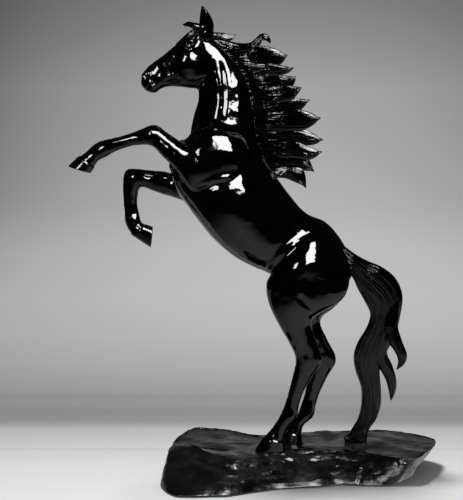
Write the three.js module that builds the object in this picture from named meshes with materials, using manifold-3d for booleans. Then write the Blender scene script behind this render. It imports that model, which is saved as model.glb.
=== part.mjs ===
// A horse rearing on its hind legs, cast in metal on a rough rock base and finished in black gloss lacquer.
// Millimetres, +Z up. The horse faces -X and its left side faces -Y.
// The origin is the middle of the base's flat underside. The tail hangs to the rock as a third support.
import * as THREE from "three";
import { mergeVertices } from "three/addons/utils/BufferGeometryUtils.js";
import Module from "manifold-3d";

const wasm = await Module();
wasm.setup();

// Driving sizes
const horseHeight = 566; // soles to ear tips
const baseLength = 355;
const baseDepth = 226;
const baseHeight = 34; // underside to the seats under the hooves
const seatGap = 0.3; // between the rock's seats and what stands on them
const seatMargin = 3; // how far a seat's flat reaches past the hoof or tail foot on it
const rockRelief = 3; // height of the lumps on the rock
const footInset = 2.5; // how far the underside's edge is drawn in under the rock's sides

// The horse's own forms are written in thousandths of its height, from the point on the rock
// above the origin: x to the tail, z up, y to its right side.
const share = horseHeight / 1000;
const standing = baseHeight + seatGap;

// A form is a list of sections. Each section is [x1, z1, x2, z2, halfWidth, y]: the two points where
// the side view's outline crosses it, its half width across the horse, and how far off centre it lies.
const trunkSections = [
  [-230, 709, -286, 635, 39, 0], // breast
  [-171, 738, -275, 592, 64, 0],
  [-122, 720, -250, 556, 76, 0],
  [-68, 646, -194, 483, 87, 0], // withers and girth
  [-25, 586, -145, 440, 88, 0],
  [18, 538, -99, 415, 85, 0],
  [63, 517, -58, 397, 81, 0], // loins and flank
  [104, 468, -11, 358, 76, 0],
  [121, 422, 55, 335, 60, 0], // buttocks
];
const neckSections = [
  [-189, 925, -223, 854, 19, 0], // poll and throat
  [-158, 898, -223, 821, 22, 0],
  [-129, 866, -224, 792, 27, 0],
  [-109, 818, -233, 763, 33, 0],
  [-100, 767, -240, 734, 41, 0],
  [-93, 716, -245, 696, 49, 0],
  [-77, 662, -252, 651, 58, 0],
];
const headSections = [
  [-202, 938, -194, 836, 19, 0], // behind the ears
  [-229, 947, -212, 818, 26, 0],
  [-250, 934, -236, 818, 27, 0], // eyes and jowl
  [-271, 916, -263, 820, 23, 0],
  [-302, 891, -290, 821, 18, 0],
  [-331, 870, -310, 815, 15, 0],
  [-344, 856, -321, 809, 16, 0], // nostrils and chin
  [-351, 838, -334, 812, 13, 0],
];
const nearForeSections = [
  [-140, 723, -111, 665, 14, -39], // shoulder blade
  [-189, 737, -140, 624, 25, -55],
  [-222, 720, -184, 609, 27, -62],
  [-242, 696, -231, 596, 28, -65], // elbow
  [-247, 693, -273, 640, 26, -65],
  [-270, 709, -303, 671, 22, -64],
  [-292, 724, -319, 689, 19, -62],
  [-319, 740, -331, 695, 19, -60], // knee
  [-337, 735, -343, 696, 17, -60],
  [-355, 727, -360, 694, 13, -60],
  [-385, 717, -376, 691, 12, -60],
  [-416, 709, -406, 681, 12, -60],
  [-443, 702, -430, 667, 15, -60], // fetlock
  [-461, 689, -444, 661, 13, -60],
  [-473, 678, -448, 655, 14, -60],
  [-487, 669, -454, 646, 17, -60], // coronet
];
const farForeSections = [
  [-194, 711, -172, 643, 14, 42], // shoulder blade
  [-222, 688, -211, 585, 25, 55],
  [-252, 653, -238, 553, 27, 58], // elbow
  [-277, 625, -270, 563, 25, 58],
  [-306, 627, -301, 573, 22, 57],
  [-332, 629, -330, 583, 19, 55],
  [-356, 632, -352, 592, 19, 53],
  [-389, 631, -361, 587, 19, 53], // knee
  [-397, 606, -364, 571, 15, 53],
  [-397, 567, -365, 557, 12, 53],
  [-395, 535, -363, 536, 12, 53],
  [-394, 514, -359, 518, 15, 53], // fetlock
  [-387, 496, -356, 509, 13, 53],
  [-377, 482, -347, 505, 17, 53], // coronet
];
const nearHindSections = [
  [3, 480, 88, 485, 27, -28], // hip
  [-39, 432, 115, 432, 39, -39],
  [-72, 388, 116, 394, 42, -44],
  [-70, 347, 79, 347, 39, -48], // stifle
  [-48, 298, 30, 300, 27, -49],
  [-26, 259, 38, 261, 20, -48],
  [-9, 226, 51, 225, 17, -47],
  [-6, 207, 54, 209, 16, -47], // hock
  [-11, 179, 31, 171, 13, -46],
  [-22, 133, 11, 133, 12, -44],
  [-32, 100, 1, 100, 12, -43],
  [-43, 76, -2, 78, 16, -42], // fetlock
  [-60, 50, -25, 45, 14, -41],
  [-77, 30, -31, 21, 18, -40], // coronet
];
const farHindSections = [
  [28, 473, 101, 473, 27, 28], // hip
  [-28, 421, 121, 421, 39, 39],
  [-57, 374, 121, 381, 42, 44],
  [-50, 332, 84, 335, 39, 46], // stifle
  [-22, 285, 55, 288, 27, 48],
  [8, 243, 68, 245, 20, 47],
  [29, 206, 89, 204, 17, 46],
  [31, 188, 91, 188, 16, 46], // hock
  [25, 159, 72, 154, 13, 45],
  [19, 114, 53, 113, 12, 44],
  [10, 86, 45, 86, 12, 43],
  [3, 65, 40, 61, 16, 42], // fetlock
  [-12, 41, 16, 40, 14, 41],
  [-28, 24, 11, 18, 18, 40], // coronet
];
const tailSections = [
  [90, 475, 102, 404, 19, 0], // dock
  [126, 447, 122, 393, 19, 0],
  [157, 429, 137, 362, 18, 4],
  [191, 414, 153, 334, 18, 7],
  [223, 387, 165, 308, 19, 11],
  [239, 347, 163, 287, 19, 14],
  [234, 295, 154, 265, 20, 18],
  [222, 248, 138, 236, 19, 23],
  [204, 210, 130, 205, 19, 28],
  [192, 171, 135, 169, 18, 34],
  [195, 128, 148, 130, 17, 39],
  [196, 91, 150, 91, 16, 44],
  [187, 55, 143, 55, 16, 48],
  [168, 25, 128, 27, 16, 49],
  [164, 0, 112, 0, 18, 49],
];
const lowTailLockSections = [
  [221, 339, 183, 316, 14, 7],
  [214, 262, 176, 250, 14, 14],
  [207, 212, 180, 196, 12, 21],
  [219, 184, 196, 165, 10, 25],
  [227, 159, 205, 147, 9, 28],
  [230, 137, 211, 126, 7, 30],
  [226, 115, 214, 111, 5, 31],
  [220, 102, 216, 101, 2, 31],
];
const highTailLockSections = [
  [228, 362, 201, 339, 12, 4],
  [230, 305, 196, 284, 12, 2],
  [229, 275, 203, 258, 11, 0],
  [235, 254, 207, 241, 10, -2],
  [242, 235, 217, 227, 9, -4],
  [249, 216, 226, 211, 8, -5],
  [248, 201, 229, 198, 6, -5],
  [240, 188, 227, 187, 4, -5],
  [229, 180, 225, 181, 2, -5],
];
const tailToeSections = [
  [146, 30, 150, 3, 12, 49],
  [126, 20, 130, 2, 10, 47],
  [113, 13, 115, 2, 6, 45],
];

// Ring of a section at a share t of its form, as points round the outline from the first point to the second.
function ringOf(curves, t, sides) {
  const first = curves.first.getPoint(t);
  const second = curves.second.getPoint(t);
  const across = curves.across.getPoint(t);
  const middle = first.clone().add(second).multiplyScalar(0.5);
  const half = first.clone().sub(second).multiplyScalar(0.5);
  return Array.from({ length: sides }, (_, i) => {
    const turn = (i / sides) * 2 * Math.PI;
    const along = Math.cos(turn);
    return new THREE.Vector3(
      middle.x + half.x * along,
      across.y + across.x * Math.sin(turn),
      middle.z + half.z * along,
    );
  });
}

function centreOf(ring) {
  const sum = ring.reduce((total, point) => total.add(point), new THREE.Vector3());
  return sum.divideScalar(ring.length);
}

// Rings that shrink to a rounded end past the given ring, and the pole that closes them.
function roundedEnd(ring, before, roundness, steps) {
  const centre = centreOf(ring);
  const outward = centre.clone().sub(centreOf(before)).normalize();
  const reach = Math.min(...ring.map((point) => point.distanceTo(centre))) * roundness;
  const rings = [];
  for (let step = 1; step < steps; step++) {
    const turn = ((step / steps) * Math.PI) / 2;
    const shift = outward.clone().multiplyScalar(reach * Math.sin(turn));
    rings.push(ring.map((point) => point.clone().lerp(centre, 1 - Math.cos(turn)).add(shift)));
  }
  return { rings, pole: centre.clone().addScaledVector(outward, reach) };
}

// A closed solid through rings of equal length, with a pole at each end.
function solidThrough(rings, firstPole, lastPole) {
  const sides = rings[0].length;
  const points = [...rings.flat(), firstPole, lastPole];
  const triangles = [];
  const firstIndex = points.length - 2;
  const lastIndex = points.length - 1;
  for (let side = 0; side < sides; side++) {
    const next = (side + 1) % sides;
    triangles.push(firstIndex, next, side);
    for (let ring = 0; ring + 1 < rings.length; ring++) {
      const here = ring * sides;
      const beyond = here + sides;
      triangles.push(here + side, here + next, beyond + next);
      triangles.push(here + side, beyond + next, beyond + side);
    }
    const end = (rings.length - 1) * sides;
    triangles.push(lastIndex, end + side, end + next);
  }
  const make = (triVerts) =>
    new wasm.Manifold(
      new wasm.Mesh({
        numProp: 3,
        vertProperties: new Float32Array(points.flatMap((point) => point.toArray())),
        triVerts: new Uint32Array(triVerts),
      }),
    );
  const solid = make(triangles);
  return solid.volume() > 0 ? solid : make(triangles.reverse());
}

// A smooth form through its sections, with its own number of sides, and of rings to a section and to a
// rounded end. An end of roundness 0 is flat, and one with a single ring is a cone.
function form(sections, { sides = 10, steps = 1, startRound = 0.6, endRound = 0.6, roundSteps = 3 } = {}) {
  const profile = (point) => new THREE.Vector3(point[0] * share, 0, standing + point[1] * share);
  const through = (points) => new THREE.CatmullRomCurve3(points, false, "centripetal");
  const curves = {
    first: through(sections.map(([x, z]) => profile([x, z]))),
    second: through(sections.map(([, , x, z]) => profile([x, z]))),
    across: through(sections.map(([, , , , half, y]) => new THREE.Vector3(half * share, y * share, 0))),
  };
  const count = (sections.length - 1) * steps;
  const rings = Array.from({ length: count + 1 }, (_, i) => ringOf(curves, i / count, sides));
  const start = roundedEnd(rings[0], rings[1], startRound, startRound > 0 ? roundSteps : 1);
  const end = roundedEnd(rings[count], rings[count - 1], endRound, endRound > 0 ? roundSteps : 1);
  return solidThrough([...start.rings.reverse(), ...rings, ...end.rings], start.pole, end.pole);
}

// An ellipsoid by its centre and radii in thousandths, turned in the side view by a tilt in degrees.
function lump([x, y, z], [alongX, alongY, alongZ], tilt = 0) {
  const ball = new THREE.SphereGeometry(share, 8, 6);
  ball.scale(alongX, alongY, alongZ);
  ball.rotateY(THREE.MathUtils.degToRad(tilt));
  ball.translate(x * share, y * share, standing + z * share);
  ball.deleteAttribute("normal");
  ball.deleteAttribute("uv");
  const merged = mergeVertices(ball, 1e-4);
  return new wasm.Manifold(
    new wasm.Mesh({
      numProp: 3,
      vertProperties: merged.attributes.position.array,
      triVerts: new Uint32Array(merged.index.array),
    }),
  );
}

const mirrored = ([x, y, z]) => [x, -y, z];
const bothSides = (place, ...rest) => [lump(place, ...rest), lump(mirrored(place), ...rest)];

// Hooves: each sole runs flat from toe to heel, both as [x, z].
const soles = {
  nearFore: { leg: nearForeSections, toe: [-511, 648], heel: [-461, 633], halfWidth: 20 },
  farFore: { leg: farForeSections, toe: [-335, 452], heel: [-330, 500], halfWidth: 20 },
  nearHind: { leg: nearHindSections, toe: [-97, 0], heel: [-27, 0], halfWidth: 21 },
  farHind: { leg: farHindSections, toe: [-47, 0], heel: [14, 0], halfWidth: 21 },
};
const hoofFlare = 1.12; // how far the horn stands out past the coronet

function hoof({ leg, toe, heel, halfWidth }) {
  const [x1, z1, x2, z2, half, y] = leg[leg.length - 1];
  const grow = (a, b) => a + ((a - b) * (hoofFlare - 1)) / 2;
  const coronet = [grow(x1, x2), grow(z1, z2), grow(x2, x1), grow(z2, z1), half * hoofFlare, y];
  return form([coronet, [...toe, ...heel, halfWidth, y]], { sides: 12, startRound: 0.4, endRound: 0, roundSteps: 1 });
}

// Mane: a fan of blades blown back from the crest. Each blade is
// [tipX, tipZ, notchX, notchZ, upperBow, lowerBow, lean]: its tip, the notch below it, how far
// its upper and lower edges bow upwards, and how far it leans off the horse's middle plane.
const maneBlades = [
  [-27, 890, -68, 869, 4, -6, 4],
  [-13, 862, -48, 849, 1, -3, -5],
  [-7, 843, -25, 820, -4, -4, 5],
  [6, 819, -26, 791, -1, -5, -3],
  [23, 791, -23, 763, 0, -7, 6],
  [47, 751, -12, 727, 7, -6, -5],
  [53, 703, 6, 693, 5, -2, 4],
  [51, 676, 4, 665, -3, -8, -5],
  [34, 633, -6, 638, 11, 2, 4],
  [17, 597, -51, 621, 14, 8, -2],
];
const maneTop = [-90, 908]; // where the fan leaves the curled lock
const maneRoot = 13; // half thickness of the blades at the crest
const bladeOverlap = 4; // how far each blade runs under its neighbours
const rootDepth = 16; // how far the roots sink into the neck
const maneSag = -5; // how far the hair dips between crest and notch
const firstRoot = 0.1; // the fan's first and last roots, as shares of the crest
const lastRoot = 0.98;
const crest = new THREE.CatmullRomCurve3(
  [...neckSections, [-50, 620]].map(([x, z]) => new THREE.Vector3(x, 0, z)),
  false,
  "centripetal",
);

function maneBlade([tipX, tipZ, notchX, notchZ, upperBow, lowerBow, lean], index) {
  const above = index ? maneBlades[index - 1].slice(2, 4) : maneTop;
  const root = (row) => crest.getPoint(firstRoot + ((lastRoot - firstRoot) * row) / maneBlades.length);
  const upperRoot = root(index);
  const lowerRoot = root(index + 1);
  const blend = (a, b, t) => a + (b - a) * t;
  const inner = (from, [x, z], t, lift) => [blend(from.x, x, t), blend(from.z, z, t) + lift];
  const outer = ([x, z], t, bow) => [blend(x, tipX, t), blend(z, tipZ, t) + bow * Math.sin(Math.PI * t)];
  const sides = (t, lift) => [
    ...inner(upperRoot, above, t, bladeOverlap + lift),
    ...inner(lowerRoot, [notchX, notchZ], t, lift - bladeOverlap),
  ];
  const edges = (t) => [...outer(above, t, upperBow), ...outer([notchX, notchZ], t, lowerBow)];
  return form(
    [
      [upperRoot.x - rootDepth, upperRoot.z, lowerRoot.x - rootDepth, lowerRoot.z, maneRoot, 0],
      [...sides(0.4, maneSag), maneRoot * 0.85, lean * 0.4],
      [...sides(0.9, 0), maneRoot * 0.65, lean * 0.8],
      [...edges(0.4), maneRoot * 0.5, lean],
      [...edges(0.75), maneRoot * 0.34, lean],
      [tipX, tipZ + 2, tipX - 1, tipZ - 2, 2, lean],
    ],
    { sides: 8, startRound: 0, endRound: 1, roundSteps: 1 },
  );
}

const curledLockSections = [
  [-180, 932, -172, 896, 10, 0],
  [-140, 922, -132, 886, 11, 0],
  [-111, 922, -102, 890, 10, -2],
  [-97, 930, -86, 906, 8, -3],
  [-80, 938, -78, 925, 5, -4],
  [-68, 934, -72, 924, 4, -5],
  [-60, 922, -64, 922, 2, -5],
];
const pollWispSections = [
  [-192, 942, -190, 924, 8, 3],
  [-168, 940, -166, 922, 7, 4],
  [-151, 936, -149, 924, 5, 5],
  [-140, 937, -143, 932, 2, 5],
];
const upperForelockSections = [
  [-212, 960, -208, 935, 10, 2],
  [-232, 962, -230, 943, 8, 5],
  [-246, 965, -243, 952, 6, 8],
  [-258, 960, -255, 955, 2, 10],
];
const lowerForelockSections = [
  [-218, 955, -212, 936, 12, -4],
  [-243, 944, -237, 926, 11, -5],
  [-259, 930, -252, 919, 8, -5],
  [-273, 917, -270, 911, 2, -4],
];
const looseLocks = [curledLockSections, pollWispSections, upperForelockSections, lowerForelockSections];

// Ears: leaf-shaped cups that open forwards and outwards, one on each side of the poll.
function ear(side) {
  const lean = (y) => side * y;
  const leaf = form(
    [
      [-221, 936, -192, 930, 13, lean(17)],
      [-222, 962, -190, 957, 12, lean(20)],
      [-220, 982, -197, 978, 8, lean(22)],
      [-216, 998, -210, 996, 2, lean(22)],
    ],
    { sides: 10, startRound: 0, endRound: 1 },
  );
  const cup = lump([-212, lean(31), 967], [11, 10, 22], -8);
  return leaf.subtract(cup);
}

const headLumps = [
  ...bothSides([-232, -17, 862], [27, 13, 27]), // jowl
  ...bothSides([-241, -22, 918], [13, 8, 8], -35), // brow
  ...bothSides([-243, -22, 910], [7, 7, 6], -35), // eyeball
  ...bothSides([-286, -15, 868], [34, 6, 7], -28), // facial crest
  ...bothSides([-341, -10, 846], [11, 8, 9], -40), // nostril rim
  lump([-326, 0, 816], [14, 12, 10], 10), // chin
];
const headCuts = [
  ...bothSides([-345, -17, 846], [6, 5, 4], -50), // nostril
  ...bothSides([-338, -12, 822], [19, 8, 2], -52), // mouth
];

const bodyForms = [
  form(trunkSections, { sides: 18, steps: 2, startRound: 0.5, endRound: 0.5 }),
  form(neckSections, { sides: 16 }),
  form(headSections, { sides: 14, startRound: 0.4, endRound: 0.5 }),
  form(nearForeSections, { endRound: 0 }),
  form(farForeSections, { endRound: 0 }),
  form(nearHindSections, { sides: 12, endRound: 0 }),
  form(farHindSections, { sides: 12, endRound: 0 }),
  form(tailSections, { sides: 12, startRound: 0.5, endRound: 0 }),
  form(lowTailLockSections, { sides: 8, endRound: 1, roundSteps: 1 }),
  form(highTailLockSections, { sides: 8, endRound: 1, roundSteps: 1 }),
  form(tailToeSections, { sides: 8, startRound: 0, endRound: 0.6, roundSteps: 1 }),
];

// Rock base. Each row is [footX, footY, rimX, rimY, rise], for a point on the underside's edge and the
// point of the top's edge above it, in shares of half the base's length and depth, and how far the top's
// edge stands above the seats, in shares of the base's height. A mound rises at the front left.
const rockRows = [
  [0.74, -0.46, 0.83, -0.47, 0],
  [0.66, -0.62, 0.77, -0.51, 0],
  [0.47, -0.63, 0.59, -0.41, 0],
  [0.29, -0.59, 0.37, -0.24, 0],
  [0.11, -0.68, 0.11, -0.21, 0],
  [-0.12, -0.77, -0.11, -0.33, 0],
  [-0.3, -0.88, -0.33, -0.56, 0],
  [-0.5, -1.04, -0.46, -0.66, 0.06],
  [-0.65, -1.08, -0.61, -0.54, 0.2],
  [-0.78, -1.1, -0.7, -0.44, 0.32],
  [-0.88, -1.08, -0.78, -0.35, 0.41],
  [-0.95, -0.92, -0.87, -0.38, 0.29],
  [-0.98, -0.71, -0.93, -0.39, 0.12],
  [-0.98, -0.4, -0.93, -0.23, 0.03],
  [-0.96, 0, -0.915, 0.09, 0],
  [-0.9, 0.4, -0.88, 0.44, 0],
  [-0.74, 0.82, -0.74, 0.85, 0.06],
  [-0.46, 0.69, -0.47, 0.71, 0.03],
  [-0.31, 0.53, -0.32, 0.56, 0],
  [0.2, 0.64, 0.21, 0.71, 0],
  [0.62, 0.64, 0.66, 0.8, 0],
  [0.78, 0.53, 0.86, 0.65, 0],
  [0.86, 0.31, 1.01, 0.42, 0],
  [0.84, -0.1, 1.025, 0.15, 0],
];
const rockSides = 54;
const rockHeart = [0, 0.18]; // the point of the top that its rings close on
// The sides' steps, as shares of the height and of the way from the foot to the rim: an upright apron
// and three ledges. Where the rim overhangs the foot, the side is a plain slope instead.
const ledges = [[0, 0], [0.1, 0.02], [0.26, 0.03], [0.31, 0.2], [0.5, 0.36], [0.56, 0.52], [0.76, 0.7], [0.84, 0.86], [1, 1]];
const topLevels = [0.93, 0.84, 0.7, 0.5, 0.28]; // the top's rings, as shares of the rim's reach
const moundFall = 5; // how steeply the mound falls behind the rim

// Lumps of the rock: crossed waves, with their lengths in millimetres over a full turn.
function rockWave(x, y, z) {
  return (
    0.5 * Math.sin(x / 17 + 1.3 * Math.sin(y / 23)) +
    0.35 * Math.sin(y / 11 + z / 7 + 1.7 * Math.sin(x / 29)) +
    0.25 * Math.sin((x + y) / 8.5 + z / 5)
  );
}

// A seat for each sole on the rock and for the tail's foot.
const [tailBackX, , tailFrontX, , , tailY] = tailSections[tailSections.length - 1];
const standingSoles = [soles.nearHind, soles.farHind].map(({ leg, toe, heel }) => [toe[0], heel[0], leg[leg.length - 1][5]]);
const seats = [...standingSoles, [tailFrontX, tailBackX, tailY]].map(([front, back, y]) => ({
  x: ((front + back) / 2) * share,
  y: y * share,
  reach: ((back - front) / 2) * share + seatMargin,
}));

// 0 on a seat, rising to 1 away from it.
function offSeat(x, y) {
  const shares = seats.map((seat) => {
    const past = Math.hypot(x - seat.x, y - seat.y) - seat.reach;
    return THREE.MathUtils.clamp(past / seat.reach, 0, 1);
  });
  return Math.min(...shares);
}

function closedCurve(points) {
  return new THREE.CatmullRomCurve3(points, true, "centripetal");
}

function rockBase() {
  const place = (x, y, rise) => new THREE.Vector3((x * baseLength) / 2, (y * baseDepth) / 2, rise * baseHeight);
  const foot = closedCurve(rockRows.map(([x, y]) => place(x, y, 0)));
  const rim = closedCurve(rockRows.map(([, , x, y, rise]) => place(x, y, 1 + rise)));
  const heart = place(...rockHeart, 1);
  const around = (make) => Array.from({ length: rockSides }, (_, i) => make(i / rockSides));
  const lift = (x, y) => Math.min(rockWave(x, y, 0) - 0.2, 1) * rockRelief * offSeat(x, y);
  const wall = ledges.map(([level, way]) =>
    around((t) => {
      const low = foot.getPoint(t);
      const high = rim.getPoint(t);
      const overhang = Math.hypot(high.x, high.y) > Math.hypot(low.x, low.y);
      const point = low.clone().lerp(high, overhang ? level : way);
      const outward = new THREE.Vector3(low.x, low.y, 0).normalize();
      const roughness = rockRelief * (rockWave(low.x, low.y, level * baseHeight) - 0.5);
      point.addScaledVector(outward, level > 0 && level < 1 ? roughness : 0);
      point.addScaledVector(outward, level === 0 ? -footInset : 0);
      point.z = level * high.z + (level === 1 ? lift(high.x, high.y) : 0);
      return point;
    }),
  );
  const top = topLevels.map((level) =>
    around((t) => {
      const edge = rim.getPoint(t);
      const point = heart.clone().lerp(edge, level);
      point.z = baseHeight + (edge.z - baseHeight) * level ** moundFall + lift(point.x, point.y);
      return point;
    }),
  );
  return solidThrough([...wall, ...top], new THREE.Vector3(0, 0, 0), heart);
}

// A shallow dish cut over a seat, so that the hoof or the tail's foot finds a flat there.
function dish({ x, y, reach }) {
  const brim = baseHeight + 3 * rockRelief;
  const ring = (radius, z) =>
    Array.from({ length: 20 }, (_, i) => {
      const turn = (i / 20) * 2 * Math.PI;
      return new THREE.Vector3(x + radius * Math.cos(turn), y + radius * Math.sin(turn), z);
    });
  const rings = [ring(reach, baseHeight), ring(reach + 4 * rockRelief, brim)];
  return solidThrough(rings, new THREE.Vector3(x, y, baseHeight), new THREE.Vector3(x, y, brim));
}

function meshOf(solid, name, material) {
  const { vertProperties, triVerts } = solid.getMesh();
  const geometry = new THREE.BufferGeometry();
  geometry.setAttribute("position", new THREE.BufferAttribute(new Float32Array(vertProperties), 3));
  geometry.setIndex(new THREE.BufferAttribute(new Uint32Array(triVerts), 1));
  geometry.computeVertexNormals();
  const mesh = new THREE.Mesh(geometry, material);
  mesh.name = name;
  return mesh;
}

const blackLacquer = new THREE.MeshStandardMaterial({ color: 0x050505, roughness: 0.06, metalness: 0 });
const roughLacquer = new THREE.MeshStandardMaterial({ color: 0x0a0a09, roughness: 0.16, metalness: 0 });

const join = (solids) => solids.reduce((whole, solid) => whole.add(solid));
const locks = looseLocks.map((sections) => form(sections, { sides: 8, startRound: 0, endRound: 1, roundSteps: 1 }));
const hair = [...maneBlades.map(maneBlade), ...locks];
const details = [...Object.values(soles).map(hoof), ...hair, ear(-1), ear(1), ...headLumps];
const horse = headCuts.reduce((whole, cut) => whole.subtract(cut), join([...bodyForms, ...details]));

const rock = seats.map(dish).reduce((whole, cut) => whole.subtract(cut), rockBase());

const sculpture = new THREE.Group();
sculpture.add(meshOf(horse, "horse", blackLacquer));
sculpture.add(meshOf(rock, "rock_base", roughLacquer));

export default sculpture;
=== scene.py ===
import math

import bmesh
import bpy
import numpy as np
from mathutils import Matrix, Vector, noise


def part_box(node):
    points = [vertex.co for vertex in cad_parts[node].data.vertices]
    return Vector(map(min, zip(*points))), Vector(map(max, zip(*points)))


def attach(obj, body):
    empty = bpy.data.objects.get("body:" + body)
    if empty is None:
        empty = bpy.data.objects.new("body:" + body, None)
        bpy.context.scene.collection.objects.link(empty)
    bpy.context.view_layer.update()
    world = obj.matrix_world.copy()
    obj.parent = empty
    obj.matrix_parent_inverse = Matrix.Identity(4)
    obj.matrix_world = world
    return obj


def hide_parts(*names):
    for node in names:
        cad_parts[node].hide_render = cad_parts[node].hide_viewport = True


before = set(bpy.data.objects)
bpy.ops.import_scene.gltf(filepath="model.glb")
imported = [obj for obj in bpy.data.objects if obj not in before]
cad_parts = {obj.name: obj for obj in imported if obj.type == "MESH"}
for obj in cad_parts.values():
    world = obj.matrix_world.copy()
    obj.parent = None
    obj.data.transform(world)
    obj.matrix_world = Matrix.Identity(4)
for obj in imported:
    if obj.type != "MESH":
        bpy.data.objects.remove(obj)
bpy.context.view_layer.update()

# A rearing horse cast in metal on a rough rock base, all in black gloss lacquer.
# Forms are written in thousandths of the horse's height: x to the tail, y to its right side, z up from
# the rock.
horseLow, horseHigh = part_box("horse")
rockLow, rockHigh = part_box("rock_base")
earTips = 999.3  # height of the ear tips in thousandths
share = (horseHigh.z - horseLow.z) / earTips
nearSide, farSide = -1, 1
soles = np.array([0, 0, horseLow.z])


def metres(points):
    return np.asarray(points, float) * share + soles


def thousandths(points):
    return (np.asarray(points, float) - soles) / share


def turnsOf(sides):
    return np.arange(sides) * 2 * np.pi / sides


def circle(sides):
    return np.cos(turnsOf(sides)), np.sin(turnsOf(sides))


# The distance covered at each row of points. A power below 1 evens out long and short steps.
def lengthAlong(points, power=1):
    steps = np.linalg.norm(np.diff(points, axis=0), axis=1)
    return np.concatenate([[0], np.cumsum(steps ** power)])


finePerRow = 24  # points worked out between two rows of a curve


# Even stops on a smooth curve through rows of numbers.
def curveThrough(rows, count, closed=False):
    rows = np.array(rows, float)
    if closed:
        rows = np.vstack([rows[-1:], rows, rows[:2]])
    else:
        rows = np.vstack([2 * rows[0] - rows[1], rows, 2 * rows[-1] - rows[-2]])
    knots = lengthAlong(rows, 0.5)
    fine = []
    for i in range(1, len(rows) - 2):
        t0, t1, t2, t3 = knots[i - 1:i + 3]
        p0, p1, p2, p3 = rows[i - 1:i + 3]
        t = np.linspace(t1, t2, finePerRow, endpoint=False)[:, None]
        a1 = ((t1 - t) * p0 + (t - t0) * p1) / (t1 - t0)
        a2 = ((t2 - t) * p1 + (t - t1) * p2) / (t2 - t1)
        a3 = ((t3 - t) * p2 + (t - t2) * p3) / (t3 - t2)
        b1 = ((t2 - t) * a1 + (t - t0) * a2) / (t2 - t0)
        b2 = ((t3 - t) * a2 + (t - t1) * a3) / (t3 - t1)
        fine.append(((t2 - t) * b1 + (t - t1) * b2) / (t2 - t1))
    fine = np.vstack([*fine, rows[-2:-1]])
    length = lengthAlong(fine)
    stops = np.linspace(0, length[-1], count, endpoint=not closed)
    return np.column_stack([np.interp(stops, length, column) for column in fine.T])


# One number, or a few spread evenly, over a count of rings.
def spreadOver(few, count):
    places = np.linspace(0, 1, np.size(few))
    return np.interp(np.linspace(0, 1, count), places, np.ravel(few))[:, None]


# Rings round a form's sections [x1, z1, x2, z2, halfWidth, y]. narrow slims the first point's side, and
# fullness below 1 squares the section off.
def ringsOf(sections, count, sides, narrow=0.0, fullness=1.0):
    x1, z1, x2, z2, half, y = (column[:, None] for column in curveThrough(sections, count).T)
    along, out = circle(sides)
    bend, slim = spreadOver(fullness, count), spreadOver(narrow, count)
    width = half * np.sign(out) * np.abs(out) ** bend * (1 - slim * along)
    x = (x1 + x2) / 2 + (x1 - x2) / 2 * along
    z = (z1 + z2) / 2 + (z1 - z2) / 2 * along
    return np.stack([x, y + width, z], axis=2)


endSteps = 5  # rings that close an end
smallestEnd = 0.02  # and the last one's share of the size


# Rings that shrink past a form's end to close it, round or blunt.
def endRings(ring, before, roundness):
    middle = ring.mean(axis=0)
    outward = middle - before.mean(axis=0)
    outward = outward / np.linalg.norm(outward)
    reach = np.linalg.norm(ring - middle, axis=1).min() * roundness
    closing = []
    for turn in np.linspace(0, math.pi / 2, endSteps + 1)[1:]:
        size = max(math.cos(turn), smallestEnd)
        closing.append(middle + (ring - middle) * size + outward * reach * math.sin(turn))
    return closing


def roundedRings(rings, start, end):
    first = endRings(rings[0], rings[1], start) if start else []
    last = endRings(rings[-1], rings[-2], end) if end else []
    return [*first[::-1], *rings, *last]


def finishEdit():
    bpy.ops.mesh.select_all(action="SELECT")
    bpy.ops.mesh.normals_make_consistent(inside=False)
    bpy.ops.object.mode_set(mode="OBJECT")
    bpy.ops.object.shade_smooth()


# A closed skin through rings of points: one disc, extruded from ring to ring.
def addSkin(name, rings):
    bpy.ops.object.select_all(action="DESELECT")
    bpy.ops.mesh.primitive_circle_add(vertices=len(rings[0]), radius=0.01, fill_type="NGON")
    piece = bpy.context.object
    piece.name = piece.data.name = name
    bpy.ops.object.mode_set(mode="EDIT")
    skin = bmesh.from_edit_mesh(piece.data)
    spot = skin.verts.layers.int.new("spot")
    for number, vert in enumerate(skin.verts):
        vert[spot] = number
        vert.co = rings[0][number]
    bpy.ops.mesh.select_all(action="SELECT")
    for ring in rings[1:]:
        bpy.ops.mesh.extrude_region_move()
        skin = bmesh.from_edit_mesh(piece.data)
        spot = skin.verts.layers.int["spot"]
        for vert in skin.verts:
            if vert.select:
                vert.co = ring[vert[spot]]
    finishEdit()
    return piece


# An ellipsoid by its centre and radii in thousandths, turned in the side view by a tilt in degrees.
# Its lower half may be shallower than the upper by a share.
def addSwell(name, middle, radii, tilt=0.0, lower=1.0):
    bpy.ops.object.select_all(action="DESELECT")
    bpy.ops.mesh.primitive_uv_sphere_add(segments=40, ring_count=24, radius=1)
    piece = bpy.context.object
    points = read(piece, "co")
    points[:, 2] *= np.where(points[:, 2] < 0, lower, 1)
    movePoints(piece, points)
    piece.location = metres(middle)
    piece.rotation_euler = (0, math.radians(tilt), 0)
    piece.scale = np.array(radii) * share
    bpy.ops.object.transform_apply(location=True, rotation=True, scale=True)
    piece.name = piece.data.name = name
    bpy.ops.object.shade_smooth()
    return piece


def pick(*pieces):
    bpy.ops.object.select_all(action="DESELECT")
    for piece in pieces:
        piece.select_set(True)
    bpy.context.view_layer.objects.active = pieces[0]


def joined(name, pieces):
    pick(*pieces)
    bpy.ops.object.join()
    pieces[0].name = pieces[0].data.name = name
    return pieces[0]


def modified(piece, kind, **settings):
    modifier = piece.modifiers.new(kind.title(), kind)
    for name, value in settings.items():
        setattr(modifier, name, value)
    pick(piece)
    bpy.ops.object.modifier_apply(modifier=modifier.name)


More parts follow.
